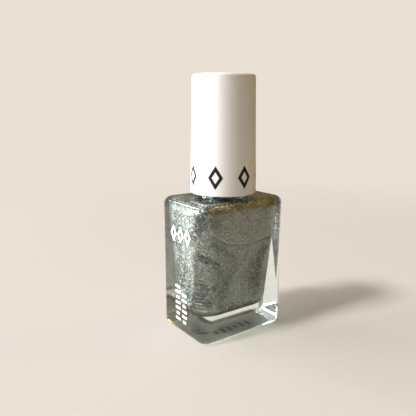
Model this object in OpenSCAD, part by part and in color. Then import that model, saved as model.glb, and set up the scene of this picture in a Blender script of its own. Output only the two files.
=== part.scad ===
// Small square-shouldered nail polish bottle with a screw-on brush cap.
// Millimetres, +Z up. The origin is on the resting plane, under the centre of the bottle.
// The wide faces look along -Y and +Y, the narrow faces along -X and +X.

/* [Bottle body] */
// Width across the wide faces
body_w = 27; // [26:0.5:30]
// Depth across the narrow faces
body_d = 19.6; // [18.6:0.2:22]
// Height of the glass body up to the flat shoulder
body_h = 36; // [34:0.5:40]
// Radius of the upright corners
corner_r = 2.7; // [1.5:0.1:3.5]
// Radius where the walls turn into the shoulder
shoulder_r = 2; // [1:0.1:2.6]
// Radius where the walls turn into the base
heel_r = 1.8; // [1:0.1:2.6]

/* [Glass walls] */
// Thickness of the front and back walls just under the shoulder
wall_front_top = 1.8; // [1.5:0.1:2.2]
// Thickness of the front and back walls at the floor of the cavity
wall_front_foot = 5; // [3:0.1:5]
// Thickness of the side walls just under the shoulder
wall_side_top = 1.3; // [1.2:0.1:2]
// Thickness of the side walls at the floor of the cavity
wall_side_foot = 3.8; // [2.5:0.1:4.2]
// Thickness of the solid glass base
base_t = 5.6; // [4:0.2:7]
// Thickness of the glass under the shoulder
shoulder_t = 1.5; // [1.3:0.1:2.6]

/* [Neck] */
// Radius of the plain neck between the threads
neck_r = 5.75; // [5.65:0.05:5.8]
// Radius over the thread on the neck
thread_r = 6.5; // [6.4:0.05:6.55]
// Radius of the bore that the brush passes through
bore_r = 3.3; // [3.2:0.05:3.5]
// Height of the neck above the shoulder
neck_h = 11.4; // [11.2:0.1:11.6]
// Rise of the thread in one turn (12 turns to the inch)
pitch = 2.1167; // [2.0:0.0001:2.2]
// Length of each thread in turns
thread_turns = 1.5; // [1:0.1:1.6]

/* [Cap] */
// Outer radius of the overcap at its open end
cap_r_low = 8.6; // [8.5:0.05:8.8]
// Outer radius of the overcap at its closed end
cap_r_high = 8.05; // [8.0:0.05:8.5]
// Height of the overcap
cap_h = 29.9; // [28:0.1:34]
// Gap between the shoulder and the overcap
cap_gap = 1.1; // [0.9:0.1:1.4]

/* [Brush] */
// Radius of the lower end of the stem
stem_r = 1.5; // [1.4:0.05:1.55]
// Radius of the bristle tuft where it is widest
tuft_r = 1.5; // [1.3:0.05:1.55]
// Length of the bristles that stand out of the stem
tuft_l = 12.9; // [11:0.1:14]
// Height of the bristle tips above the floor of the cavity
tip_gap = 1.6; // [1.5:0.1:2]

/* [Polish] */
// Air space between the polish and the glass above it
air_gap = 1.6; // [1:0.1:6]
// Radius of each mixing ball
ball_r = 2; // [1.8:0.05:2.1]
// Distance of each mixing ball from the middle of the bottle
ball_x = 5.6; // [5.2:0.05:5.8]
// Upward travel of a mixing ball when the bottle is shaken
ball_travel = 18; // [5:1:18]

/* [Hidden] */
$fn = 96;
EPS = 0.01;

// Glass
cavity_top = body_h - shoulder_t;
cavity_w_low = body_w - 2 * wall_side_foot;
cavity_w_high = body_w - 2 * wall_side_top;
cavity_d_low = body_d - 2 * wall_front_foot;
cavity_d_high = body_d - 2 * wall_front_top;
cavity_floor_r = 2.5;
cavity_ceiling_r = 1.5;
cavity_corner_r = 1.3;
neck_top = body_h + neck_h;
collar_r = 6.9;
collar_h = 0.8;
lip_r = 0.4;
recess_w = 22;
recess_d = 14.6;
recess_r = 1.5;
recess_h = 0.4;

// Thread form: both ridges are the same trapezium, one facing out and one facing in
ridge_foot_w = 1.0;
ridge_crest_w = 0.4;
ridge_sink = 0.25;
ridge_fade = 25;
ridge_step = 12;
neck_thread_top = neck_top - 1.4;
flank_play = 0.15;

// Stack that closes the neck, from the rim upwards
liner_t = 0.8;
liner_r_in = 3.5;
liner_r_out = 6.2;
flange_z = neck_top + liner_t;
flange_t = 1.2;
flange_r = 6.3;
ceiling_z = flange_z + flange_t;
ceiling_t = 1.2;
plug_r = 3.1;
plug_h = 2.4;
plug_lead = 0.5;

// Inner cap
skirt_r_in = 6.7;
skirt_r_out = 7.4;
skirt_z = body_h + cap_gap + 0.5;
skirt_lead = 0.3;
crest_r_in = neck_r + 0.2;
bead_z = skirt_z + 2;
bead_h = 0.8;
bead_out = 0.12;
boss_r = 2.45;
boss_h = 4.6;
boss_lead = 0.4;
post_r_in = 2.5;
post_r_out = 3.7;
fin_count = 6;
fin_t = 0.8;
fin_r = 6.5;

// Overcap
cap_z = body_h + cap_gap;
cap_top = cap_z + cap_h;
cap_top_t = 1.6;
cap_edge_r = 0.7;
cap_lip_r = 0.25;
cap_bore_r = skirt_r_out + 0.05;
cap_upper_r = 6.6;
key_r = 5;
post_top = cap_top - cap_top_t - 0.2;

// Brush and the polish around it
tip_z = base_t + tip_gap;
stem_end = tip_z + tuft_l;
stem_r_high = 1.9;
stem_taper_z = stem_end + 8;
socket_r = 1.15;
socket_l = 3.2;
root_r = 1.1;
root_l = 3;
throat_r = 1.3;
staple = [2.6, 0.35, 1.5];
staple_z = stem_end + 0.8;
coat_in_r = 1.65;
coat_r = 2.05;
coat_gap = 0.3;
coat_t = 0.4;
well_r = coat_r + 0.3;
well_z = tip_z - coat_gap - coat_t - 0.3;
polish_top = cavity_top - air_gap;
ball_play = 0.25;
ball_lift = 0.05;
label_play = 0.3;
label_t = 0.12;

// Points of an arc of radius r about [x, y], from angle a to angle b
function arc(x, y, r, a, b, steps = 6) =
    [for (i = [0:steps]) let (t = a + (b - a) * i / steps) [x + r * cos(t), y + r * sin(t)]];

// Upright rectangle standing on y = 0 with true round corners, one radius below and one above
module rounded_outline(w, h, r_low, r_high) {
    translate([-w / 2, r_low]) square([w, h - r_low - r_high]);
    translate([-w / 2 + r_low, 0]) square([w - 2 * r_low, r_low + EPS]);
    translate([-w / 2 + r_high, h - r_high - EPS]) square([w - 2 * r_high, r_high + EPS]);
    for (side = [-1, 1]) {
        translate([side * (w / 2 - r_low), r_low]) circle(r_low);
        translate([side * (w / 2 - r_high), h - r_high]) circle(r_high);
    }
}

// Outside of the glass body: three rounded outlines crossed at right angles
module body_block() {
    intersection() {
        translate([0, -body_d / 2, -1])
            linear_extrude(body_h + 2) rounded_outline(body_w, body_d, corner_r, corner_r);
        rotate([90, 0, 0])
            linear_extrude(body_d + 2, center = true) rounded_outline(body_w, body_h, heel_r, shoulder_r);
        rotate([90, 0, 90])
            linear_extrude(body_w + 2, center = true) rounded_outline(body_d, body_h, heel_r, shoulder_r);
    }
}

// Upright outline of the cavity, which narrows from w_high at its ceiling to w_low at its floor
module cavity_outline(w_low, w_high) {
    lean = atan((w_high - w_low) / 2 / (cavity_top - base_t));
    low_y = base_t + cavity_floor_r;
    high_y = cavity_top - cavity_ceiling_r;
    low_x = w_low / 2 + cavity_floor_r * tan(lean) - cavity_floor_r / cos(lean);
    high_x = w_high / 2 - cavity_ceiling_r * tan(lean) - cavity_ceiling_r / cos(lean);
    right = concat(arc(low_x, low_y, cavity_floor_r, -90, -lean),
                   arc(high_x, high_y, cavity_ceiling_r, -lean, 90));
    left = [for (i = [len(right) - 1:-1:0]) [-right[i][0], right[i][1]]];
    polygon(concat(right, left));
}

// Space inside the glass body, closed at the top where the bore begins
module cavity() {
    intersection() {
        rotate([90, 0, 0])
            linear_extrude(body_d, center = true) cavity_outline(cavity_w_low, cavity_w_high);
        rotate([90, 0, 90])
            linear_extrude(body_w, center = true) cavity_outline(cavity_d_low, cavity_d_high);
        translate([0, 0, base_t])
            linear_extrude(cavity_top - base_t, slices = 1,
                           scale = [cavity_w_high / cavity_w_low, cavity_d_high / cavity_d_low])
                translate([0, -cavity_d_low / 2 - EPS])
                    rounded_outline(cavity_w_low + 2 * EPS, cavity_d_low + 2 * EPS,
                                    cavity_corner_r, cavity_corner_r, $fn = 48);
    }
}

// Right-handed helical ridge that starts at z = 0 and fades in and out at its ends.
// root_r lies inside the wall that the ridge grows from.
module thread_ridge(root_r, crest_r) {
    count = ceil(360 * thread_turns / ridge_step);
    ring = function (i)
        let (a = 360 * thread_turns * i / count,
             z = pitch * thread_turns * i / count,
             fade = min(1, 0.2 + a / ridge_fade, 0.2 + (360 * thread_turns - a) / ridge_fade),
             r = root_r + (crest_r - root_r) * fade,
             foot = ridge_foot_w / 2,
             crest = ridge_crest_w / 2)
        [for (p = [[root_r, -foot], [r, -crest], [r, crest], [root_r, foot]])
            [p[0] * cos(a), p[0] * sin(a), z + p[1]]];
    points = [for (i = [0:count]) each ring(i)];
    outward = crest_r > root_r;
    quads = [for (i = [0:count - 1], k = [0:3])
        let (a = 4 * i + k, b = 4 * i + (k + 1) % 4) [a, b, b + 4, a + 4]];
    ends = [[3, 2, 1, 0], [4 * count, 4 * count + 1, 4 * count + 2, 4 * count + 3]];
    faces = [for (f = concat(quads, ends)) outward ? f : [for (i = [3:-1:0]) f[i]]];
    polyhedron(points, faces);
}

// Height of the middle of the neck thread where it starts
function neck_thread_z() = neck_thread_top - pitch * thread_turns;

// The cap thread hangs under the neck thread, with a little play between their flanks
function cap_thread_z() = neck_thread_z() - (ridge_foot_w + ridge_crest_w) / 2 - flank_play;

module glass_bottle() {
    color([0.8, 0.88, 0.85, 0.35]) {
        difference() {
            union() {
                body_block();
                translate([0, 0, body_h - 1]) cylinder(r = collar_r, h = collar_h + 1);
                rotate_extrude()
                    polygon(concat([[0, body_h - 1], [neck_r, body_h - 1]],
                                   arc(neck_r - lip_r, neck_top - lip_r, lip_r, 0, 90),
                                   [[0, neck_top]]));
                translate([0, 0, neck_thread_z()]) thread_ridge(neck_r - ridge_sink, thread_r);
            }
            cavity();
            translate([0, 0, cavity_top - 1]) cylinder(r = bore_r, h = neck_h + shoulder_t + 2);
            translate([0, -recess_d / 2, -1])
                linear_extrude(recess_h + 1) rounded_outline(recess_w, recess_d, recess_r, recess_r);
        }
    }
}

// The liquid, with a well for the brush and a lane for each mixing ball
module polish_fill() {
    color([0.56, 0.57, 0.53]) {
        difference() {
            intersection() {
                cavity();
                translate([0, 0, polish_top - body_h / 2]) cube([body_w, body_d, body_h], center = true);
            }
            translate([0, 0, well_z]) cylinder(r = well_r, h = body_h);
            for (side = [-1, 1])
                translate([side * ball_x, 0, base_t - EPS])
                    cylinder(r = ball_r + ball_play, h = 2 * ball_r + ball_travel + ball_play);
        }
    }
}

module mixing_ball(side) {
    color("silver") translate([side * ball_x, 0, base_t + ball_lift + ball_r]) sphere(ball_r);
}

module mixing_ball_1() { mixing_ball(-1); }

module mixing_ball_2() { mixing_ball(1); }

// Film label in the shallow recess under the base
module base_label() {
    label_d = recess_d - 2 * label_play;
    color("gray")
        translate([0, -label_d / 2, recess_h - label_t])
            linear_extrude(label_t)
                rounded_outline(recess_w - 2 * label_play, label_d,
                                recess_r - label_play, recess_r - label_play);
}

// Polish that clings to the bristles and comes out with them, open at the top
module polish_on_brush() {
    floor_z = tip_z - coat_gap;
    top_z = stem_end - 0.5;
    color([0.6, 0.61, 0.58])
        rotate_extrude()
            polygon(concat([[0, floor_z], [0, floor_z - coat_t]],
                           arc(0.6, floor_z - coat_t + 1.45, 1.45, -90, 0),
                           [[coat_r, top_z], [coat_in_r, top_z]],
                           arc(0.6, floor_z + 1.05, 1.05, 0, -90)));
}

// Soft washer between the rim of the glass and the flange of the brush
module seal_liner() {
    color("ivory") translate([0, 0, neck_top])
        difference() {
            cylinder(r = liner_r_out, h = liner_t);
            translate([0, 0, -1]) cylinder(r = liner_r_in, h = liner_t + 2);
        }
}

// White outer shell, with small keys inside that stop it turning on the inner cap
module overcap() {
    inside_top = cap_top - cap_top_t;
    color("white") {
        rotate_extrude()
            polygon(concat([[cap_bore_r, cap_z]],
                           arc(cap_r_low - cap_lip_r, cap_z + cap_lip_r, cap_lip_r, -90, 0),
                           arc(cap_r_high - cap_edge_r, cap_top - cap_edge_r, cap_edge_r, 0, 90),
                           [[0, cap_top], [0, inside_top],
                            [cap_upper_r, inside_top], [cap_upper_r, ceiling_z + ceiling_t + 0.1],
                            [cap_bore_r, ceiling_z + ceiling_t + 0.1],
                            [cap_bore_r, bead_z + bead_h],
                            [cap_bore_r + bead_out, bead_z + bead_h / 2],
                            [cap_bore_r, bead_z]]));
        for (i = [0:fin_count - 1])
            rotate([0, 0, (i + 0.5) * 360 / fin_count])
                translate([key_r, -fin_t / 2, ceiling_z + ceiling_t + 0.1])
                    cube([cap_upper_r - key_r + 0.4, fin_t, inside_top - ceiling_z - ceiling_t]);
    }
}

// Threaded closure: a skirt that screws on the neck, and a finned post that carries the overcap
module inner_cap() {
    color([0.1, 0.1, 0.11]) {
        difference() {
            rotate_extrude()
                polygon([[skirt_r_in + skirt_lead, skirt_z], [skirt_r_out, skirt_z],
                         [skirt_r_out, bead_z], [skirt_r_out + bead_out, bead_z + bead_h / 2],
                         [skirt_r_out, bead_z + bead_h],
                         [skirt_r_out, ceiling_z + ceiling_t],
                         [post_r_out, ceiling_z + ceiling_t], [post_r_out, post_top],
                         [0, post_top], [0, ceiling_z],
                         [skirt_r_in, ceiling_z], [skirt_r_in, skirt_z + skirt_lead]]);
            translate([0, 0, ceiling_z - 1])
                cylinder(r = post_r_in, h = post_top - ceiling_z);
        }
        for (i = [0:fin_count - 1])
            rotate([0, 0, i * 360 / fin_count])
                translate([post_r_out - 0.4, -fin_t / 2, ceiling_z + ceiling_t - 0.4])
                    cube([fin_r - post_r_out + 0.4, fin_t, post_top - ceiling_z - ceiling_t + 0.4]);
        translate([0, 0, cap_thread_z()]) thread_ridge(skirt_r_in + ridge_sink, crest_r_in);
    }
}

// Stem, sealing plug, flange and the boss that is pressed into the post of the inner cap
module brush_wand() {
    color([0.12, 0.12, 0.13])
        difference() {
            rotate_extrude()
                polygon([[0, stem_end], [stem_r, stem_end], [stem_r, stem_end + socket_l],
                         [stem_r_high, stem_taper_z], [stem_r_high, neck_top - plug_h],
                         [plug_r - plug_lead, neck_top - plug_h], [plug_r, neck_top - plug_h + plug_lead],
                         [plug_r, flange_z], [flange_r, flange_z], [flange_r, ceiling_z],
                         [boss_r, ceiling_z], [boss_r, ceiling_z + boss_h - boss_lead],
                         [boss_r - boss_lead, ceiling_z + boss_h], [0, ceiling_z + boss_h]]);
            translate([0, 0, stem_end - 1]) cylinder(r = socket_r, h = socket_l + 1);
            staple_block();
        }
}

// Tuft as one soft solid: a root inside the stem and a full body with a rounded tip
module bristles() {
    color([0.07, 0.07, 0.07])
        difference() {
            rotate_extrude()
                polygon(concat([[0, tip_z]],
                               arc(tuft_r - 1.2, tip_z + 2, 1.2, -60, 0),
                               [[tuft_r, stem_end - 6], [throat_r, stem_end],
                                [root_r, stem_end], [root_r, stem_end + root_l],
                                [0, stem_end + root_l]]));
            staple_block();
        }
}

module staple_block() {
    translate([0, 0, staple_z + staple[2] / 2]) cube(staple, center = true);
}

// Flat wire anchor that holds the folded bristles in the end of the stem
module bristle_staple() {
    color("gainsboro") staple_block();
}

glass_bottle();
polish_fill();
mixing_ball_1();
mixing_ball_2();
base_label();
polish_on_brush();
seal_liner();
overcap();
inner_cap();
brush_wand();
bristles();
bristle_staple();
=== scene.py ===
"""Looks of a nail polish bottle: clear glass, metallic lacquer, a white screw cap and its brush.

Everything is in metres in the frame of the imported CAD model: +Z up, the wide faces along -Y and +Y.
"""

import math
import random

import bmesh
import bpy
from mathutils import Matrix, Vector


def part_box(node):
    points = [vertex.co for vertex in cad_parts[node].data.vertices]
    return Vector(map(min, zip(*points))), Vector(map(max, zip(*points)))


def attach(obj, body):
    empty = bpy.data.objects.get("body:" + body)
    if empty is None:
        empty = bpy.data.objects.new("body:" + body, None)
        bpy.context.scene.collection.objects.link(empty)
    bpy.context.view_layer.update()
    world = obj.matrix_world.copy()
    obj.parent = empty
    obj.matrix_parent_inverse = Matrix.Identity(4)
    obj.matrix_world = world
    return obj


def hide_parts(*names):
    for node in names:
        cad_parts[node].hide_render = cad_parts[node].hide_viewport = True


MM = 0.001
TURN = 2 * math.pi

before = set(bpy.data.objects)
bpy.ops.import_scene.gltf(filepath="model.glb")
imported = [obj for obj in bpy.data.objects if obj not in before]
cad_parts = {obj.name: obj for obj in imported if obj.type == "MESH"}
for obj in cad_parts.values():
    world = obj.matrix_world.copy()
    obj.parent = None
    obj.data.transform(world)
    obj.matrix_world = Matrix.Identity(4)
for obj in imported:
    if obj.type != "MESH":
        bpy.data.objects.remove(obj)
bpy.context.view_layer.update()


# ---------------------------------------------------------------- dimensions, from the CAD nodes

glass_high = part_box("glass_bottle")[1]
fill_low, fill_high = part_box("polish_fill")
cap_low, cap_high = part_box("overcap")
tuft_low, tuft_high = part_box("bristles")
film_low, film_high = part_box("polish_on_brush")
label_low, label_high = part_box("base_label")

HALF_W = glass_high.x
HALF_D = glass_high.y
CAP_GAP = 1.1 * MM
SHOULDER_Z = cap_low.z - CAP_GAP
NECK_TOP = glass_high.z
CORNER_R = 2.7 * MM
SHOULDER_R = 2.0 * MM
HEEL_R = 1.8 * MM
LABEL_PLAY = 0.3 * MM
LABEL_GLUE = 0.01 * MM
RECESS_HALF_W = label_high.x + LABEL_PLAY
RECESS_HALF_D = label_high.y + LABEL_PLAY
RECESS_R = 1.5 * MM
RECESS_H = label_high.z - LABEL_GLUE
RECESS_EDGE = 0.1 * MM

SHOULDER_WALL = 1.5 * MM
SIDE_WALL_FOOT = 3.8 * MM
SIDE_WALL_TOP = 1.3 * MM
FRONT_WALL_FOOT = 5.0 * MM
FRONT_WALL_TOP = 1.8 * MM
FLOOR_Z = fill_low.z
CEILING_Z = SHOULDER_Z - SHOULDER_WALL
CAVITY_HALF_W_LOW = HALF_W - SIDE_WALL_FOOT
CAVITY_HALF_W_HIGH = HALF_W - SIDE_WALL_TOP
CAVITY_HALF_D_LOW = HALF_D - FRONT_WALL_FOOT
CAVITY_HALF_D_HIGH = HALF_D - FRONT_WALL_TOP
CAVITY_FLOOR_R = 2.5 * MM
CAVITY_CEILING_R = 1.5 * MM
CAVITY_CORNER_R = 3.2 * MM
BORE_R = 3.3 * MM
BORE_FLARE = 0.6 * MM
LIP_R = 0.4 * MM

NECK_R = 5.75 * MM
THREAD_R = 6.5 * MM
COLLAR_R = 6.9 * MM
COLLAR_H = 0.8 * MM
PITCH = 2.1167 * MM
THREAD_TURNS = 1.5
THREAD_TOP = NECK_TOP - 1.4 * MM
THREAD_HALF_H = 0.5 * MM
THREAD_SLOPE = 0.3 * MM
THREAD_FADE = 0.08
THREAD_MARGIN = 0.7 * MM
THREAD_STEP = 0.12 * MM

POCKET_X = 2.5 * MM
POCKET_Z = 32.7 * MM
POCKET_HALF_W = 14.0 * MM
POCKET_HALF_H = 8.3 * MM
POCKET_FADE_START = -11.5 * MM
POCKET_FADE_END = -5.5 * MM

LACQUER_WETTING = 0.04 * MM
STEM_WET_LOW = 29 * MM
STEM_WET_HIGH = 31 * MM
TUFT_WET_LOW = 23 * MM
TUFT_WET_HIGH = 28 * MM

FLAKES_PER_M = 4700
FINE_FLAKE_RATIO = 2.1
FLAKE_TILT = 0.54
POCKET_FLAKE_TILT = 0.38
FINE_FLAKE_TILT = 0.40
GLASS_TINT = (0.89, 0.96, 0.94, 1)
GLASS_SHADE_TINT = (0.58, 0.63, 0.61, 1)
SILVER_DEEP = (0.08, 0.085, 0.072)
SILVER_MID = (0.33, 0.345, 0.315)
SILVER_PALE = (0.46, 0.475, 0.44)
FLAKE_BRIGHT = (0.84, 0.845, 0.815)
POCKET_TONE = (0.375, 0.38, 0.325)

CORNER_STEPS = 10
SIDE_STEPS = 16
ARC_STEPS = 8
LIP_STEPS = 4


# ---------------------------------------------------------------- mesh helpers

def new_object(name, points, faces, smooth=True):
    """A mesh object whose faces all look outwards."""
    mesh = bpy.data.meshes.new(name)
    mesh.from_pydata([tuple(p) for p in points], [], faces)
    mesh.validate()
    skin = bmesh.new()
    skin.from_mesh(mesh)
    bmesh.ops.recalc_face_normals(skin, faces=skin.faces)
    skin.to_mesh(mesh)
    skin.free()
    mesh.update()
    if smooth:
        mesh.shade_smooth()
    made = bpy.data.objects.new(name, mesh)
    bpy.context.scene.collection.objects.link(made)
    return made


def weigh_normals(piece):
    """Flat faces stay flat beside their rounded edges."""
    weighted = piece.modifiers.new("weighted", "WEIGHTED_NORMAL")
    weighted.keep_sharp = True
    weighted.weight = 100


SHARPEST_R = 0.02 * MM


def rounded_ring(half_w, half_d, radius, z):
    """Points of an upright rounded rectangle at height z, anticlockwise from above."""
    radius = max(radius, SHARPEST_R)
    ring = []
    corners = [(1, 1, 0.0), (-1, 1, 0.25), (-1, -1, 0.5), (1, -1, 0.75)]
    for i, (sx, sy, start) in enumerate(corners):
        centre = Vector((sx * (half_w - radius), sy * (half_d - radius), z))
        for k in range(CORNER_STEPS + 1):
            angle = TURN * (start + 0.25 * k / CORNER_STEPS)
            ring.append(centre + radius * Vector((math.cos(angle), math.sin(angle), 0)))
        nx, ny, _ = corners[(i + 1) % 4]
        angle = TURN * (start + 0.25)
        begin = ring[-1]
        end = Vector((nx * (half_w - radius), ny * (half_d - radius), z))
        end += radius * Vector((math.cos(angle), math.sin(angle), 0))
        for k in range(1, SIDE_STEPS):
            ring.append(begin.lerp(end, k / SIDE_STEPS))
    return ring


def ring_angles(half_w, half_d, radius):
    return [math.atan2(p.y, p.x) for p in rounded_ring(half_w, half_d, radius, 0)]


BODY_ANGLES = ring_angles(HALF_W, HALF_D, CORNER_R)


def circle_ring(radius, z):
    """A circle with its points at the same angles as those of the body's outline."""
    return [Vector((radius * math.cos(a), radius * math.sin(a), z)) for a in BODY_ANGLES]


def even_angles(count):
    return [TURN * i / count for i in range(count)]


def loft(name, rings, start, end):
    """Closed skin over rings of equal length, with the points start and end in its two ends."""
    count = len(rings[0])
    points = [p for ring in rings for p in ring]
    faces = []
    for r in range(len(rings) - 1):
        for i in range(count):
            j = (i + 1) % count
            a, b = r * count, (r + 1) * count
            faces.append((a + i, a + j, b + j, b + i))
    points.append(start)
    hub = len(points) - 1
    faces += [(hub, (i + 1) % count, i) for i in range(count)]
    points.append(end)
    hub = len(points) - 1
    last = (len(rings) - 1) * count
    faces += [(hub, last + i, last + (i + 1) % count) for i in range(count)]
    return new_object(name, points, faces)


# ---------------------------------------------------------------- shader helpers

class Nodes:
    """Short calls for building one material's node tree."""

    def __init__(self, name):
        self.material = bpy.data.materials.new(name)
        self.material.use_nodes = True
        self.tree = self.material.node_tree
        self.shader = self.tree.nodes["Principled BSDF"]
        self.output = self.tree.nodes["Material Output"]
        self.place = self.add("ShaderNodeTexCoord").outputs["Object"]

    def add(self, kind, **settings):
        node = self.tree.nodes.new(kind)
        for key, value in settings.items():
            setattr(node, key, value)
        return node

    def link(self, source, target):
        self.tree.links.new(source, target)

    def set(self, **values):
        for key, value in values.items():
            self.shader.inputs[key.replace("_", " ")].default_value = value

    def noise(self, scale, detail, distortion=0.0, vector=None, roughness=0.5):
        node = self.add("ShaderNodeTexNoise")
        node.inputs["Scale"].default_value = scale
        node.inputs["Detail"].default_value = detail
        node.inputs["Roughness"].default_value = roughness
        node.inputs["Distortion"].default_value = distortion
        self.link(vector or self.place, node.inputs["Vector"])
        return node

    def voronoi(self, scale):
        node = self.add("ShaderNodeTexVoronoi")
        node.inputs["Scale"].default_value = scale
        self.link(self.place, node.inputs["Vector"])
        return node

    def stretch(self, source, low, high, to_low=0.0, to_high=1.0, smooth=True):
        node = self.add("ShaderNodeMapRange")
        if smooth:
            node.interpolation_type = "SMOOTHSTEP"
        node.inputs["From Min"].default_value = low
        node.inputs["From Max"].default_value = high
        node.inputs["To Min"].default_value = to_low
        node.inputs["To Max"].default_value = to_high
        self.link(source, node.inputs["Value"])
        return node.outputs["Result"]

    def maths(self, operation, a, b=0.0):
        node = self.add("ShaderNodeMath", operation=operation)
        for socket, value in zip(node.inputs, (a, b)):
            if isinstance(value, (int, float)):
                socket.default_value = value
            else:
                self.link(value, socket)
        return node.outputs[0]

    def vectors(self, operation, a, b=(0, 0, 0), scale=None):
        node = self.add("ShaderNodeVectorMath", operation=operation)
        for socket, value in zip(node.inputs, (a, b)):
            if isinstance(value, tuple):
                socket.default_value = value
            else:
                self.link(value, socket)
        if scale is not None:
            if isinstance(scale, (int, float)):
                node.inputs["Scale"].default_value = scale
            else:
                self.link(scale, node.inputs["Scale"])
        return node.outputs["Vector"]

    def mix(self, share, a, b):
        node = self.add("ShaderNodeMix", data_type="RGBA")
        for key, value in (("Factor", share), ("A", a), ("B", b)):
            socket = node.inputs[key]
            if isinstance(value, (int, float)):
                socket.default_value = value
            elif isinstance(value, tuple):
                socket.default_value = (*value, 1.0)
            else:
                self.link(value, socket)
        return node.outputs["Result"]

    def facing(self):
        return self.add("ShaderNodeNewGeometry").outputs["Normal"]

    def tint(self, share, dark, light):
        self.link(self.mix(share, dark, light), self.shader.inputs["Base Color"])

    def bump(self, height, strength, distance, normal=None):
        node = self.add("ShaderNodeBump")
        node.inputs["Strength"].default_value = strength
        node.inputs["Distance"].default_value = distance
        self.link(height, node.inputs["Height"])
        if normal is not None:
            self.link(normal, node.inputs["Normal"])
        return node.outputs["Normal"]

    def axis(self, name):
        node = self.add("ShaderNodeSeparateXYZ")
        self.link(self.place, node.inputs[0])
        return node.outputs[name]


def dress(piece, material):
    piece.data.materials.clear()
    piece.data.materials.append(material)


# ---------------------------------------------------------------- materials

def glass_material():
    """Clear glass with a faint green-grey tint, slightly wavy, that lets the lamps through."""
    n = Nodes("clear_glass")
    n.set(Base_Color=GLASS_TINT, Transmission_Weight=1.0, IOR=1.5)
    waves = n.noise(95, 2.0)
    fine = n.noise(900, 3.0)
    n.link(n.stretch(fine.outputs["Fac"], 0.35, 0.75, 0.0, 0.035), n.shader.inputs["Roughness"])
    n.link(n.bump(waves.outputs["Fac"], 0.12, 0.4 * MM), n.shader.inputs["Normal"])
    lamps = n.add("ShaderNodeLightPath").outputs["Is Shadow Ray"]
    clear = n.add("ShaderNodeBsdfTransparent")
    clear.inputs["Color"].default_value = GLASS_SHADE_TINT
    join = n.add("ShaderNodeMixShader")
    n.link(lamps, join.inputs[0])
    n.link(n.shader.outputs[0], join.inputs[1])
    n.link(clear.outputs[0], join.inputs[2])
    n.link(join.outputs[0], n.output.inputs["Surface"])
    return n.material


def pocket_distance(n):
    """1 on the edge of the elliptical air film against the front wall, less inside it."""
    wobble = n.noise(120, 2.0).outputs["Fac"]
    across = n.maths("DIVIDE", n.maths("SUBTRACT", n.axis("X"), POCKET_X), POCKET_HALF_W)
    upward = n.maths("DIVIDE", n.maths("SUBTRACT", n.axis("Z"), POCKET_Z), POCKET_HALF_H)
    across = n.maths("MULTIPLY", across, across)
    upward = n.maths("MULTIPLY", upward, upward)
    length = n.maths("SQRT", n.maths("ADD", across, upward))
    return n.maths("ADD", length, n.stretch(wobble, 0.2, 0.8, -0.05, 0.05, smooth=False))


def flakes(n, normal, coarse_tilt, fine_tilt):
    """Normal of the metal flakes, each cell leaning its own way, and the cells' random colours."""
    grains = n.voronoi(FLAKES_PER_M)
    grit = n.voronoi(FINE_FLAKE_RATIO * FLAKES_PER_M)
    coarse = n.vectors("SUBTRACT", grains.outputs["Color"], (0.5, 0.5, 0.5))
    fine = n.vectors("SUBTRACT", grit.outputs["Color"], (0.5, 0.5, 0.5))
    lean = n.vectors("ADD", normal, n.vectors("SCALE", coarse, scale=coarse_tilt))
    lean = n.vectors("ADD", lean, n.vectors("SCALE", fine, scale=fine_tilt))
    split = n.add("ShaderNodeSeparateColor")
    n.link(grains.outputs["Color"], split.inputs[0])
    return n.vectors("NORMALIZE", lean), split


def swirls(n, warp_size):
    """Slow folds in the settling pigment."""
    warp = n.noise(60, 2.0)
    bent = n.vectors("ADD", n.place, n.vectors("SCALE", warp.outputs["Color"], scale=warp_size))
    bent = n.vectors("MULTIPLY", bent, (1.0, 1.0, 0.5))
    folds = n.noise(130, 5.0, 1.8, bent, 0.6)
    cloud = n.noise(55, 2.0, 0.4, bent)
    return folds.outputs["Fac"], cloud.outputs["Fac"]


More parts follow.
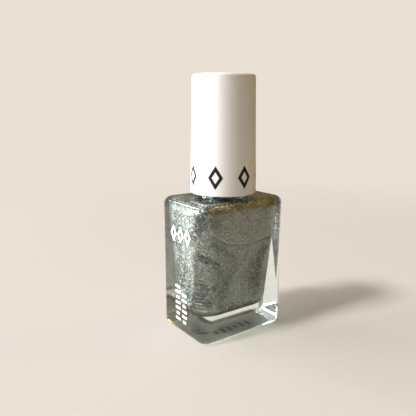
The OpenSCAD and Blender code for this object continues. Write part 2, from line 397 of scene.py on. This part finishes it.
def polish_material():
    """Silver lacquer: fine tilted flakes, slow swirls, a smoother film on the front wall, and a
    painted highlight and painted shade along that film's edge.
    """
    n = Nodes("metallic_polish")
    folds, cloud = swirls(n, 10 * MM)
    inside = pocket_distance(n)
    front = n.stretch(n.axis("Y"), -2 * MM, -1 * MM, 1.0, 0.0)
    front = n.maths("MULTIPLY", front, n.stretch(n.axis("X"), POCKET_FADE_START, POCKET_FADE_END))
    pocket = n.maths("MULTIPLY", n.stretch(inside, 0.985, 1.01, 1.0, 0.0), front)
    # painted highlight: a thin bright line along the edge of the front film
    rim = n.stretch(inside, 0.985, 1.015, 1.0, 0.0)
    rim = n.maths("MULTIPLY", n.stretch(inside, 0.955, 0.985), rim)
    rim = n.maths("MULTIPLY", rim, front)
    # painted shade: a dark band just below the edge of the front film
    shade = n.stretch(inside, 1.02, 1.07, 1.0, 0.0)
    shade = n.maths("MULTIPLY", n.stretch(inside, 1.0, 1.01), shade)
    shade = n.maths("MULTIPLY", shade, front)
    tilt = n.stretch(pocket, 0, 1, FLAKE_TILT, POCKET_FLAKE_TILT, smooth=False)
    lean, split = flakes(n, n.facing(), tilt, FINE_FLAKE_TILT)

    veins = n.stretch(folds, 0.40, 0.56)
    tone = n.mix(veins, SILVER_DEEP, SILVER_MID)
    tone = n.mix(n.stretch(cloud, 0.42, 0.62, 0.0, 0.6), tone, SILVER_PALE)
    tone = n.mix(n.stretch(cloud, 0.30, 0.46, 0.55, 0.0), tone, SILVER_DEEP)
    tone = n.mix(n.maths("MULTIPLY", pocket, 0.8), tone, POCKET_TONE)
    tone = n.mix(n.stretch(split.outputs[0], 0.70, 1.0, 0.0, 0.8), tone, FLAKE_BRIGHT)
    # painted highlight along the film's edge
    tone = n.mix(n.maths("MULTIPLY", rim, 0.5), tone, FLAKE_BRIGHT)
    # painted shade just below the film's edge
    tone = n.mix(n.maths("MULTIPLY", shade, 0.85), tone, SILVER_DEEP)
    n.link(tone, n.shader.inputs["Base Color"])
    n.set(Metallic=0.92)
    rough = n.stretch(split.outputs[1], 0, 1, 0.20, 0.34, smooth=False)
    n.link(rough, n.shader.inputs["Roughness"])
    n.link(n.bump(folds, 0.12, 0.4 * MM, lean), n.shader.inputs["Normal"])
    return n.material


def wet_plastic_material(name, dark, light, wet_low, wet_high):
    """Black plastic with lacquer clinging to it below wet_low, in patches up to wet_high."""
    n = Nodes(name)
    lean, split = flakes(n, n.facing(), 0.5, 0.4)
    edge = n.noise(260, 3.0).outputs["Fac"]
    ragged = n.stretch(edge, 0.3, 0.7, -2.5 * MM, 2.5 * MM, smooth=False)
    height = n.maths("ADD", n.axis("Z"), ragged)
    wet = n.stretch(height, wet_low, wet_high, 1.0, 0.0)
    cloud = n.noise(300, 2.0)
    plastic = n.mix(cloud.outputs["Fac"], dark, light)
    silver = n.mix(n.stretch(split.outputs[0], 0.5, 1.0), SILVER_MID, FLAKE_BRIGHT)
    n.tint(wet, plastic, silver)
    n.link(n.maths("MULTIPLY", wet, 0.9), n.shader.inputs["Metallic"])
    n.link(n.stretch(cloud.outputs["Fac"], 0.3, 0.7, 0.24, 0.36), n.shader.inputs["Roughness"])
    n.link(n.bump(edge, 0.1, 0.1 * MM, lean), n.shader.inputs["Normal"])
    return n.material


def cap_material():
    """Satin white moulded plastic."""
    n = Nodes("cap_white")
    n.set(Specular_IOR_Level=0.4)
    grain = n.noise(2600, 3.0)
    cloud = n.noise(70, 2.0)
    n.tint(cloud.outputs["Fac"], (0.80, 0.79, 0.765), (0.84, 0.83, 0.81))
    n.link(n.stretch(grain.outputs["Fac"], 0.2, 0.8, 0.42, 0.56), n.shader.inputs["Roughness"])
    n.link(n.bump(grain.outputs["Fac"], 0.06, 0.05 * MM), n.shader.inputs["Normal"])
    return n.material


def closure_material():
    """Fine-grained black moulded plastic."""
    n = Nodes("closure_black")
    grain = n.noise(1500, 3.0)
    cloud = n.noise(180, 2.0)
    n.tint(cloud.outputs["Fac"], (0.018, 0.018, 0.02), (0.035, 0.035, 0.038))
    n.link(n.stretch(grain.outputs["Fac"], 0.25, 0.75, 0.38, 0.55), n.shader.inputs["Roughness"])
    n.link(n.bump(grain.outputs["Fac"], 0.12, 0.05 * MM), n.shader.inputs["Normal"])
    return n.material


def metal_material(name, dark, light, rough_low, rough_high):
    """Bare metal with fine scratches."""
    n = Nodes(name)
    n.set(Metallic=1.0)
    scratch = n.noise(1400, 4.0, 0.8).outputs["Fac"]
    n.tint(scratch, dark, light)
    n.link(n.stretch(scratch, 0.3, 0.7, rough_low, rough_high), n.shader.inputs["Roughness"])
    return n.material


def foam_material():
    """Closed-cell foam."""
    n = Nodes("liner_foam")
    cells = n.voronoi(6000)
    n.tint(cells.outputs["Distance"], (0.86, 0.85, 0.8), (0.74, 0.73, 0.68))
    n.set(Roughness=0.8)
    n.link(n.bump(cells.outputs["Distance"], 0.3, 0.05 * MM), n.shader.inputs["Normal"])
    return n.material


def ink_material(name, dark, light):
    """Flat ink or printed film with fine specks."""
    n = Nodes(name)
    n.set(Specular_IOR_Level=0.2)
    specks = n.noise(3000, 2.0).outputs["Fac"]
    n.tint(specks, dark, light)
    n.link(n.stretch(specks, 0.3, 0.7, 0.38, 0.52), n.shader.inputs["Roughness"])
    return n.material


# ---------------------------------------------------------------- glass and lacquer

def cavity_ring(z, inset, grow):
    """The tapered cavity's outline at height z, drawn in by inset and out by grow."""
    share = (z - FLOOR_Z) / (CEILING_Z - FLOOR_Z)
    half_w = CAVITY_HALF_W_LOW + (CAVITY_HALF_W_HIGH - CAVITY_HALF_W_LOW) * share
    half_d = CAVITY_HALF_D_LOW + (CAVITY_HALF_D_HIGH - CAVITY_HALF_D_LOW) * share
    return rounded_ring(
        half_w - inset + grow,
        half_d - inset + grow,
        max(CAVITY_CORNER_R - 0.7 * inset, 0.3 * MM) + grow,
        z,
    )


def cavity_rings(grow=0.0):
    """The cavity from the ceiling down to the floor. grow moves the skin outwards."""
    rings = []
    for k in range(ARC_STEPS + 1):
        angle = 0.25 * TURN * k / ARC_STEPS
        z = CEILING_Z + grow - CAVITY_CEILING_R * (1 - math.cos(angle))
        rings.append(cavity_ring(z, CAVITY_CEILING_R * (1 - math.sin(angle)), grow))
    for k in range(ARC_STEPS + 1):
        angle = 0.25 * TURN * k / ARC_STEPS
        z = FLOOR_Z - grow + CAVITY_FLOOR_R * (1 - math.sin(angle))
        rings.append(cavity_ring(z, CAVITY_FLOOR_R * (1 - math.cos(angle)), grow))
    return rings


def thread_height(angle, z):
    """How far the helical ridge stands out of the neck at this angle and height."""
    turn = (angle % TURN) / TURN
    best = 0.0
    for whole in range(2):
        along = turn + whole
        if along > THREAD_TURNS:
            continue
        off = abs(z - (THREAD_TOP - PITCH * (THREAD_TURNS - along)))
        shape = min(1.0, max(0.0, (THREAD_HALF_H - off) / THREAD_SLOPE))
        fade = min(1.0, along / THREAD_FADE, (THREAD_TURNS - along) / THREAD_FADE)
        best = max(best, shape * fade)
    return best * (THREAD_R - NECK_R)


def body_rings():
    """Outside of the glass, from the recess under the base to the top of the shoulder."""

    def recess_ring(grow, z):
        return rounded_ring(RECESS_HALF_W + grow, RECESS_HALF_D + grow, RECESS_R + grow, z)

    rings = [
        rounded_ring(0.7 * RECESS_HALF_W, 0.6 * RECESS_HALF_D, 0.6 * RECESS_R, RECESS_H),
        recess_ring(-RECESS_EDGE, RECESS_H),
        recess_ring(0.0, RECESS_H - RECESS_EDGE),
        recess_ring(0.0, RECESS_EDGE),
        recess_ring(RECESS_EDGE, 0.0),
    ]
    for k in range(ARC_STEPS + 1):
        angle = 0.25 * TURN * k / ARC_STEPS
        inset = HEEL_R * (1 - math.sin(angle))
        z = HEEL_R * (1 - math.cos(angle))
        rings.append(rounded_ring(HALF_W - inset, HALF_D - inset, CORNER_R - inset, z))
    for k in range(ARC_STEPS + 1):
        angle = 0.25 * TURN * k / ARC_STEPS
        inset = SHOULDER_R * (1 - math.cos(angle))
        z = SHOULDER_Z - SHOULDER_R * (1 - math.sin(angle))
        rings.append(rounded_ring(HALF_W - inset, HALF_D - inset, CORNER_R - inset, z))
    return rings


def neck_rings():
    """Collar, threaded neck, rim and bore, from the shoulder up and down again."""
    rings = [
        circle_ring(COLLAR_R + 0.5 * MM, SHOULDER_Z),
        circle_ring(COLLAR_R + 0.15 * MM, SHOULDER_Z + 0.08 * MM),
        circle_ring(COLLAR_R, SHOULDER_Z + 0.3 * MM),
        circle_ring(COLLAR_R, SHOULDER_Z + COLLAR_H - 0.25 * MM),
        circle_ring(COLLAR_R - 0.25 * MM, SHOULDER_Z + COLLAR_H),
        circle_ring(NECK_R + 0.15 * MM, SHOULDER_Z + COLLAR_H + 0.05 * MM),
        circle_ring(NECK_R, SHOULDER_Z + COLLAR_H + 0.3 * MM),
    ]
    z = THREAD_TOP - PITCH * THREAD_TURNS - THREAD_MARGIN
    while z < THREAD_TOP + THREAD_MARGIN:
        ring = []
        for a in BODY_ANGLES:
            radius = NECK_R + thread_height(a, z)
            ring.append(Vector((radius * math.cos(a), radius * math.sin(a), z)))
        rings.append(ring)
        z += THREAD_STEP
    quarter = [0.25 * TURN * k / LIP_STEPS for k in range(LIP_STEPS + 1)]
    for angle in quarter:
        radius = NECK_R - LIP_R * (1 - math.cos(angle))
        rings.append(circle_ring(radius, NECK_TOP - LIP_R * (1 - math.sin(angle))))
    for angle in quarter:
        radius = BORE_R + LIP_R * (1 - math.sin(angle))
        rings.append(circle_ring(radius, NECK_TOP - LIP_R * (1 - math.cos(angle))))
    for angle in quarter:
        radius = BORE_R + BORE_FLARE * (1 - math.cos(angle))
        rings.append(circle_ring(radius, CEILING_Z + BORE_FLARE * (1 - math.sin(angle))))
    return rings


def make_glass():
    rings = body_rings() + neck_rings() + cavity_rings()
    start = Vector((0, 0, RECESS_H))
    glass = loft("glass_bottle_visual", rings, start, Vector((0, 0, FLOOR_Z)))
    weigh_normals(glass)
    dress(glass, glass_material())
    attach(glass, "bottle")
    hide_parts("glass_bottle")


def make_polish(material):
    """The lacquer fills the cavity and wets all its walls; inside the bore its level is lower."""
    grow = LACQUER_WETTING
    level = fill_high.z
    rings = [
        circle_ring(BORE_R - 0.4 * MM, level),
        circle_ring(BORE_R - 0.1 * MM, level + 0.15 * MM),
        circle_ring(BORE_R + 0.1 * MM, level + 0.7 * MM),
        circle_ring(BORE_R + 0.3 * MM, CEILING_Z + 0.02 * MM),
        circle_ring(BORE_R + 1.2 * MM, CEILING_Z + grow),
    ]
    rings += cavity_rings(grow)
    start = Vector((0, 0, level))
    polish = loft("polish_fill_visual", rings, start, Vector((0, 0, FLOOR_Z - grow)))
    weigh_normals(polish)
    dress(polish, material)
    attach(polish, "bottle")
    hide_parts("polish_fill")


# ---------------------------------------------------------------- brush

FILAMENTS = 150
FILAMENT_SIDES = 5
FILAMENT_STEPS = 9
FILAMENT_R = 0.075 * MM
TUFT_ROOT_R = 0.98 * MM
TUFT_BELLY_R = 1.38 * MM
TUFT_GATHER = 0.35 * MM
GOLDEN_ANGLE = 2.39996


def make_tuft(material):
    """Nylon filaments from the socket in the stem to a rounded, slightly spread tip."""
    rng = random.Random(7)
    sides = FILAMENT_SIDES
    length = tuft_high.z - tuft_low.z
    top_z = tuft_high.z - 0.05 * MM
    points = []
    faces = []
    for i in range(FILAMENTS):
        share = math.sqrt((i + 0.5) / FILAMENTS)
        angle = i * GOLDEN_ANGLE + rng.uniform(-0.1, 0.1)
        tip_z = tuft_low.z + length * (0.005 + 0.19 * share**3) + rng.uniform(0, 0.02) * length
        base = len(points)
        for k in range(FILAMENT_STEPS + 1):
            t = k / FILAMENT_STEPS
            swell = math.sin(math.pi * min(1.0, max(0.0, t * 1.05 - 0.12)) ** 0.8)
            spread = TUFT_ROOT_R + (TUFT_BELLY_R - TUFT_ROOT_R) * max(0.0, swell)
            out = share * (spread - TUFT_GATHER * t**4)
            twist = angle + 0.12 * math.sin(3 * t + i)
            z = top_z + (tip_z - top_z) * t
            centre = Vector((out * math.cos(twist), out * math.sin(twist), z))
            thick = FILAMENT_R * (1.0 if k < FILAMENT_STEPS else 0.45)
            for a in even_angles(sides):
                points.append(centre + Vector((thick * math.cos(a), thick * math.sin(a), 0)))
        for k in range(FILAMENT_STEPS):
            a = base + k * sides
            b = a + sides
            for m in range(sides):
                n = (m + 1) % sides
                faces.append((a + m, b + m, b + n, a + n))
        faces.append(tuple(base + m for m in range(sides)))
        last = base + FILAMENT_STEPS * sides
        faces.append(tuple(last + m for m in reversed(range(sides))))
    tuft = new_object("bristle_filaments", points, faces)
    dress(tuft, material)
    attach(tuft, "cap")
    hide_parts("bristles")


FILM_INNER_R = 1.66 * MM
FILM_THIN = 0.19 * MM
FILM_WAVE = 0.13 * MM
FILM_RIM_WAVE = 0.25 * MM
FILM_FLOOR_T = 0.45 * MM
FILM_TIP_H = 1.9 * MM
FILM_INNER_STEPS = 20
FILM_OUTER_STEPS = 24


def make_film(material):
    """The lacquer that clings to the brush: a rippled wet skin, heavier towards the tip."""
    angles = even_angles(40)
    inner_r = FILM_INNER_R
    outer_r = film_high.x
    top = film_high.z
    bottom = film_low.z
    rings = []

    def ripple(a, z):
        return 0.5 + 0.25 * math.sin(2 * a + z * 900) + 0.25 * math.sin(3 * a - z * 1400 + 1)

    def ring(radius, z, wave=0.0, rim=0.0):
        made = []
        for a in angles:
            r = radius - wave * ripple(a, z)
            made.append(Vector((r * math.cos(a), r * math.sin(a), z - rim * ripple(a, z))))
        return made

    for k in range(FILM_INNER_STEPS):
        t = k / (FILM_INNER_STEPS - 1)
        z = bottom + FILM_FLOOR_T + (top - bottom - 2 * FILM_FLOOR_T) * t
        rings.append(ring(inner_r, z))
    for out, down in ((0.02 * MM, 0.1 * MM), (0.1 * MM, 0.0), (0.17 * MM, 0.12 * MM)):
        rings.append(ring(inner_r + out, top - down, rim=FILM_RIM_WAVE))
    for k in range(FILM_OUTER_STEPS):
        t = k / (FILM_OUTER_STEPS - 1)
        z = top - 0.5 * MM - (top - bottom - 0.5 * MM - FILM_TIP_H) * t
        swell = (outer_r - inner_r - FILM_THIN) * t**0.7
        rings.append(ring(inner_r + FILM_THIN + swell, z, wave=FILM_WAVE))
    for k in range(1, ARC_STEPS):
        angle = 0.25 * TURN * k / ARC_STEPS
        z = bottom + FILM_TIP_H * (1 - math.sin(angle))
        rings.append(ring(outer_r * math.cos(angle), z, wave=FILM_WAVE * math.cos(angle)))
    start = Vector((0, 0, bottom + FILM_FLOOR_T))
    film = loft("brush_film_visual", rings, start, Vector((0, 0, bottom)))
    dress(film, material)
    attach(film, "brush_film")
    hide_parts("polish_on_brush")


# ---------------------------------------------------------------- plain printed marks

PRINT_SINK = 0.03 * MM
PRINT_RISE = 0.02 * MM
CAP_MARKS = 7
CAP_MARK_Z = cap_low.z + 4.75 * MM
CAP_MARK_FIRST = math.radians(-50.7)
CAP_END = 1 * MM
GLASS_MARK_Z = 27.2 * MM
GLASS_MARK_PITCH = 3.2 * MM
DASH_WIDTHS = (2.2 * MM, 1.4 * MM, 2.2 * MM, 2.2 * MM, 1.4 * MM, 2.2 * MM)
DASH_HEIGHT = 0.7 * MM
DASH_PITCH = 1.5 * MM
LOZENGE_STEPS = 6
LABEL_DASHES = 6
LABEL_DASH_PITCH = 2.1 * MM


def lozenge(width, height):
    """Outline of a standing rhombus about (0, 0)."""
    corners = [(width / 2, 0), (0, height / 2), (-width / 2, 0), (0, -height / 2)]
    outline = []
    for i, (x0, y0) in enumerate(corners):
        x1, y1 = corners[(i + 1) % 4]
        for k in range(LOZENGE_STEPS):
            t = k / LOZENGE_STEPS
            outline.append((x0 + (x1 - x0) * t, y0 + (y1 - y0) * t))
    return outline


def bar(width, height):
    """Outline of a rectangle about (0, 0)."""
    x = width / 2
    y = height / 2
    return [(x, -y), (x, y), (-x, y), (-x, -y)]


def print_ring(outer, inner, place, points, faces):
    """Adds a thin closed film between two outlines. place(u, v, h) puts a point on a surface."""
    base = len(points)
    count = len(outer)
    middle = [((u0 + u1) / 2, (v0 + v1) / 2) for (u0, v0), (u1, v1) in zip(outer, inner)]
    levels = [
        (outer, PRINT_RISE),
        (middle, PRINT_RISE),
        (inner, PRINT_RISE),
        (inner, -PRINT_SINK),
        (outer, -PRINT_SINK),
    ]
    for outline, h in levels:
        points += [place(u, v, h) for u, v in outline]
    for level in range(len(levels)):
        a = base + level * count
        b = base + (level + 1) % len(levels) * count
        faces += [(a + i, b + i, b + (i + 1) % count, a + (i + 1) % count) for i in range(count)]


def print_patch(outline, place, points, faces):
    """Adds a thin closed film that fills one outline."""
    base = len(points)
    count = len(outline)
    for h in (PRINT_RISE, -PRINT_SINK):
        points += [place(u, v, h) for u, v in outline]
    low = base + count
    faces.append(tuple(base + i for i in range(count)))
    faces.append(tuple(low + i for i in reversed(range(count))))
    for i in range(count):
        j = (i + 1) % count
        faces.append((base + i, low + i, low + j, base + j))


def finish_print(name, points, faces, body, material):
    printed = new_object(name, points, faces, smooth=False)
    dress(printed, material)
    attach(printed, body)


def make_cap_marks(material):
    """A band of seven open lozenges round the foot of the cap."""
    wall = [(v.co.z, math.hypot(v.co.x, v.co.y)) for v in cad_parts["overcap"].data.vertices]
    low_r = max(r for z, r in wall if z < cap_low.z + CAP_END)
    high_r = max(r for z, r in wall if z > cap_high.z - CAP_END)

    def on_cap(centre):
        def place(u, v, h):
            z = CAP_MARK_Z + v
            share = (z - cap_low.z) / (cap_high.z - cap_low.z)
            radius = low_r + (high_r - low_r) * share + h
            angle = centre + u / low_r
            return Vector((radius * math.sin(angle), -radius * math.cos(angle), z))

        return place

    points = []
    faces = []
    for i in range(CAP_MARKS):
        place = on_cap(CAP_MARK_FIRST + TURN * i / CAP_MARKS)
        print_ring(lozenge(3.9 * MM, 5.9 * MM), lozenge(1.95 * MM, 2.95 * MM), place, points, faces)
    finish_print("cap_marks", points, faces, "cap", material)


def make_glass_marks(material):
    """Three open lozenges high on the narrow face and two upright rows of dashes below."""

    def on_face(y, z):
        def place(u, v, h):
            return Vector((-HALF_W - h, y - u, z + v))

        return place

    points = []
    faces = []
    for i in range(3):
        place = on_face(3.3 * MM - GLASS_MARK_PITCH * i, GLASS_MARK_Z)
        print_ring(lozenge(2.9 * MM, 4.3 * MM), lozenge(1.3 * MM, 2.1 * MM), place, points, faces)
    columns = ((1.6 * MM, 4.0 * MM, 7), (-1.4 * MM, 3.8 * MM, 6))
    for column, (y, first_z, count) in enumerate(columns):
        for k in range(count):
            width = DASH_WIDTHS[(k + column) % len(DASH_WIDTHS)]
            place = on_face(y, first_z + DASH_PITCH * k)
            print_patch(bar(width, DASH_HEIGHT), place, points, faces)
    finish_print("glass_marks", points, faces, "bottle", material)


def make_label_marks(material):
    """A row of dark dashes on each face of the label under the base."""

    def on_label(x, y, side):
        z = label_high.z if side > 0 else label_low.z

        def place(u, v, h):
            return Vector((x + u, y + side * v, z + side * h))

        return place

    points = []
    faces = []
    for side in (1, -1):
        for k in range(LABEL_DASHES):
            tall = (4.6 if k % 3 else 3.0) * MM
            place = on_label(LABEL_DASH_PITCH * k - 6 * MM, -1.5 * MM, side)
            print_patch(bar(1.1 * MM, tall), place, points, faces)
    finish_print("label_marks", points, faces, "bottle", material)


# ---------------------------------------------------------------- stage, light and camera

AZIMUTH = math.radians(-35.7)
ELEVATION = math.radians(12.4)
DISTANCE = 131.0 * MM
SIDE_STEP = -4.0 * MM
RISE = 14.2 * MM
LENS = 41.45
FLOOR_HALF = 0.6
FLOOR_DROP = -0.08 * MM
FLOOR_FADE_START = 0.09
FLOOR_FADE_END = 0.3
BACKDROP = (0.821, 0.745, 0.658, 1)
WARM_SIDE = (0.172, 0.106, 0.012, 1)
COOL_SIDE = (0.54, 0.55, 0.55, 1)
COOL_DIRECTION = (-0.85, 0.50, 0.15)


def outward(azimuth, elevation):
    """Unit vector from the bottle, with azimuth 0 at -Y and growing towards +X."""
    level = math.cos(elevation)
    return Vector((math.sin(azimuth) * level, -math.cos(azimuth) * level, math.sin(elevation)))


def make_camera():
    back = outward(AZIMUTH, ELEVATION)
    right = Vector((math.cos(AZIMUTH), math.sin(AZIMUTH), 0))
    up = back.cross(right)
    data = bpy.data.cameras.new("camera")
    data.lens = LENS
    data.sensor_width = 36
    data.clip_start = 0.005
    camera = bpy.data.objects.new("camera", data)
    bpy.context.scene.collection.objects.link(camera)
    middle = Vector((0, 0, SHOULDER_Z / 2))
    place = middle + back * DISTANCE + right * SIDE_STEP + up * RISE
    turn = camera.matrix_world.copy()
    for row in range(3):
        turn[row] = (right[row], up[row], back[row], place[row])
    camera.matrix_world = turn
    bpy.context.scene.camera = camera


def area_light(name, azimuth, elevation, distance, width, height, power, colour):
    """A flat lamp that looks at the middle of the bottle, with its angles in degrees."""
    away = outward(math.radians(azimuth), math.radians(elevation))
    data = bpy.data.lights.new(name, "AREA")
    data.energy = power
    data.shape = "RECTANGLE"
    data.size = width
    data.size_y = height
    data.color = colour
    lamp = bpy.data.objects.new(name, data)
    bpy.context.scene.collection.objects.link(lamp)
    lamp.location = Vector((0, 0, 0.03)) + away * distance
    lamp.rotation_euler = away.to_track_quat("Z", "Y").to_euler()


def make_floor():
    """A sheet of pale paper that fades out, just below the foot of the glass."""
    x = FLOOR_HALF
    corners = [(-x, -x, FLOOR_DROP), (x, -x, FLOOR_DROP), (x, x, FLOOR_DROP), (-x, x, FLOOR_DROP)]
    floor = new_object("floor", corners, [(0, 1, 2, 3)], smooth=False)
    n = Nodes("floor_paper")
    fibres = n.noise(700, 3.0)
    n.tint(fibres.outputs["Fac"], (0.545, 0.505, 0.475), (0.575, 0.535, 0.505))
    n.set(Roughness=0.9, Specular_IOR_Level=0.1)
    reach = n.vectors("MULTIPLY", n.place, (1.0, 1.0, 0.0))
    length = n.add("ShaderNodeVectorMath", operation="LENGTH")
    n.link(reach, length.inputs[0])
    fade = n.stretch(length.outputs["Value"], FLOOR_FADE_START, FLOOR_FADE_END)
    clear = n.add("ShaderNodeBsdfTransparent")
    join = n.add("ShaderNodeMixShader")
    n.link(fade, join.inputs[0])
    n.link(n.shader.outputs[0], join.inputs[1])
    n.link(clear.outputs[0], join.inputs[2])
    n.link(join.outputs[0], n.output.inputs["Surface"])
    dress(floor, n.material)


def make_world():
    """Cool light from the left and behind, warm from the right, and a plain pale backdrop."""
    world = bpy.data.worlds.new("studio")
    bpy.context.scene.world = world
    world.use_nodes = True
    tree = world.node_tree
    back = tree.nodes["Background"]
    coords = tree.nodes.new("ShaderNodeTexCoord")
    facing = tree.nodes.new("ShaderNodeVectorMath")
    facing.operation = "DOT_PRODUCT"
    facing.inputs[1].default_value = COOL_DIRECTION
    tree.links.new(coords.outputs["Generated"], facing.inputs[0])
    ramp = tree.nodes.new("ShaderNodeMapRange")
    ramp.interpolation_type = "SMOOTHSTEP"
    ramp.inputs["From Min"].default_value = -0.5
    ramp.inputs["From Max"].default_value = 0.9
    tree.links.new(facing.outputs["Value"], ramp.inputs["Value"])
    around = tree.nodes.new("ShaderNodeMix")
    around.data_type = "RGBA"
    around.inputs["A"].default_value = WARM_SIDE
    around.inputs["B"].default_value = COOL_SIDE
    tree.links.new(ramp.outputs["Result"], around.inputs["Factor"])
    path = tree.nodes.new("ShaderNodeLightPath")
    choose = tree.nodes.new("ShaderNodeMix")
    choose.data_type = "RGBA"
    choose.inputs["B"].default_value = BACKDROP
    tree.links.new(path.outputs["Is Camera Ray"], choose.inputs["Factor"])
    tree.links.new(around.outputs["Result"], choose.inputs["A"])
    tree.links.new(choose.outputs["Result"], back.inputs["Color"])


def make_light():
    area_light("key", -100, 52, 2.5, 0.35, 0.35, 57.0, (1.0, 0.985, 0.96))
    area_light("left_window", -127, 7, 2.2, 1.4, 0.9, 94.0, (0.955, 0.99, 1.0))
    area_light("back_pane", -155, 30, 2.0, 0.28, 0.34, 7.0, (0.955, 0.99, 1.0))
    area_light("warm_lamp", 70, 52, 1.2, 0.12, 0.12, 0.85, (1.0, 0.58, 0.16))
    bpy.context.scene.view_settings.view_transform = "Standard"


# ---------------------------------------------------------------- build

polish = polish_material()
make_camera()
make_floor()
make_world()
make_light()
make_glass()
make_polish(polish)
make_film(polish)

dress(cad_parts["overcap"], cap_material())
closure = closure_material()
stem = wet_plastic_material(
    "stem_black", (0.014, 0.014, 0.016), (0.03, 0.03, 0.033), STEM_WET_LOW, STEM_WET_HIGH
)
nylon = wet_plastic_material(
    "bristle_nylon", (0.02, 0.02, 0.02), (0.05, 0.05, 0.05), TUFT_WET_LOW, TUFT_WET_HIGH
)
steel = metal_material("ball_steel", (0.62, 0.62, 0.62), (0.8, 0.8, 0.8), 0.08, 0.22)
wire = metal_material("staple_wire", (0.6, 0.6, 0.58), (0.78, 0.78, 0.76), 0.2, 0.4)
# painted shade: the base label is coloured dark grey for the shade under the bottle's foot; the label
# itself is lighter
label = ink_material("label_film", (0.10, 0.105, 0.088), (0.15, 0.155, 0.135))
black_ink = ink_material("cap_print", (0.008, 0.008, 0.008), (0.02, 0.02, 0.02))
white_ink = ink_material("glass_print", (0.90, 0.91, 0.90), (0.96, 0.96, 0.96))
dress(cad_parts["inner_cap"], closure)
dress(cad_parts["brush_wand"], stem)
make_tuft(nylon)
dress(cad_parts["mixing_ball_1"], steel)
dress(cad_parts["mixing_ball_2"], steel)
dress(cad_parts["bristle_staple"], wire)
dress(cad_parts["base_label"], label)
dress(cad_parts["seal_liner"], foam_material())

make_cap_marks(black_ink)
make_glass_marks(white_ink)
make_label_marks(black_ink)
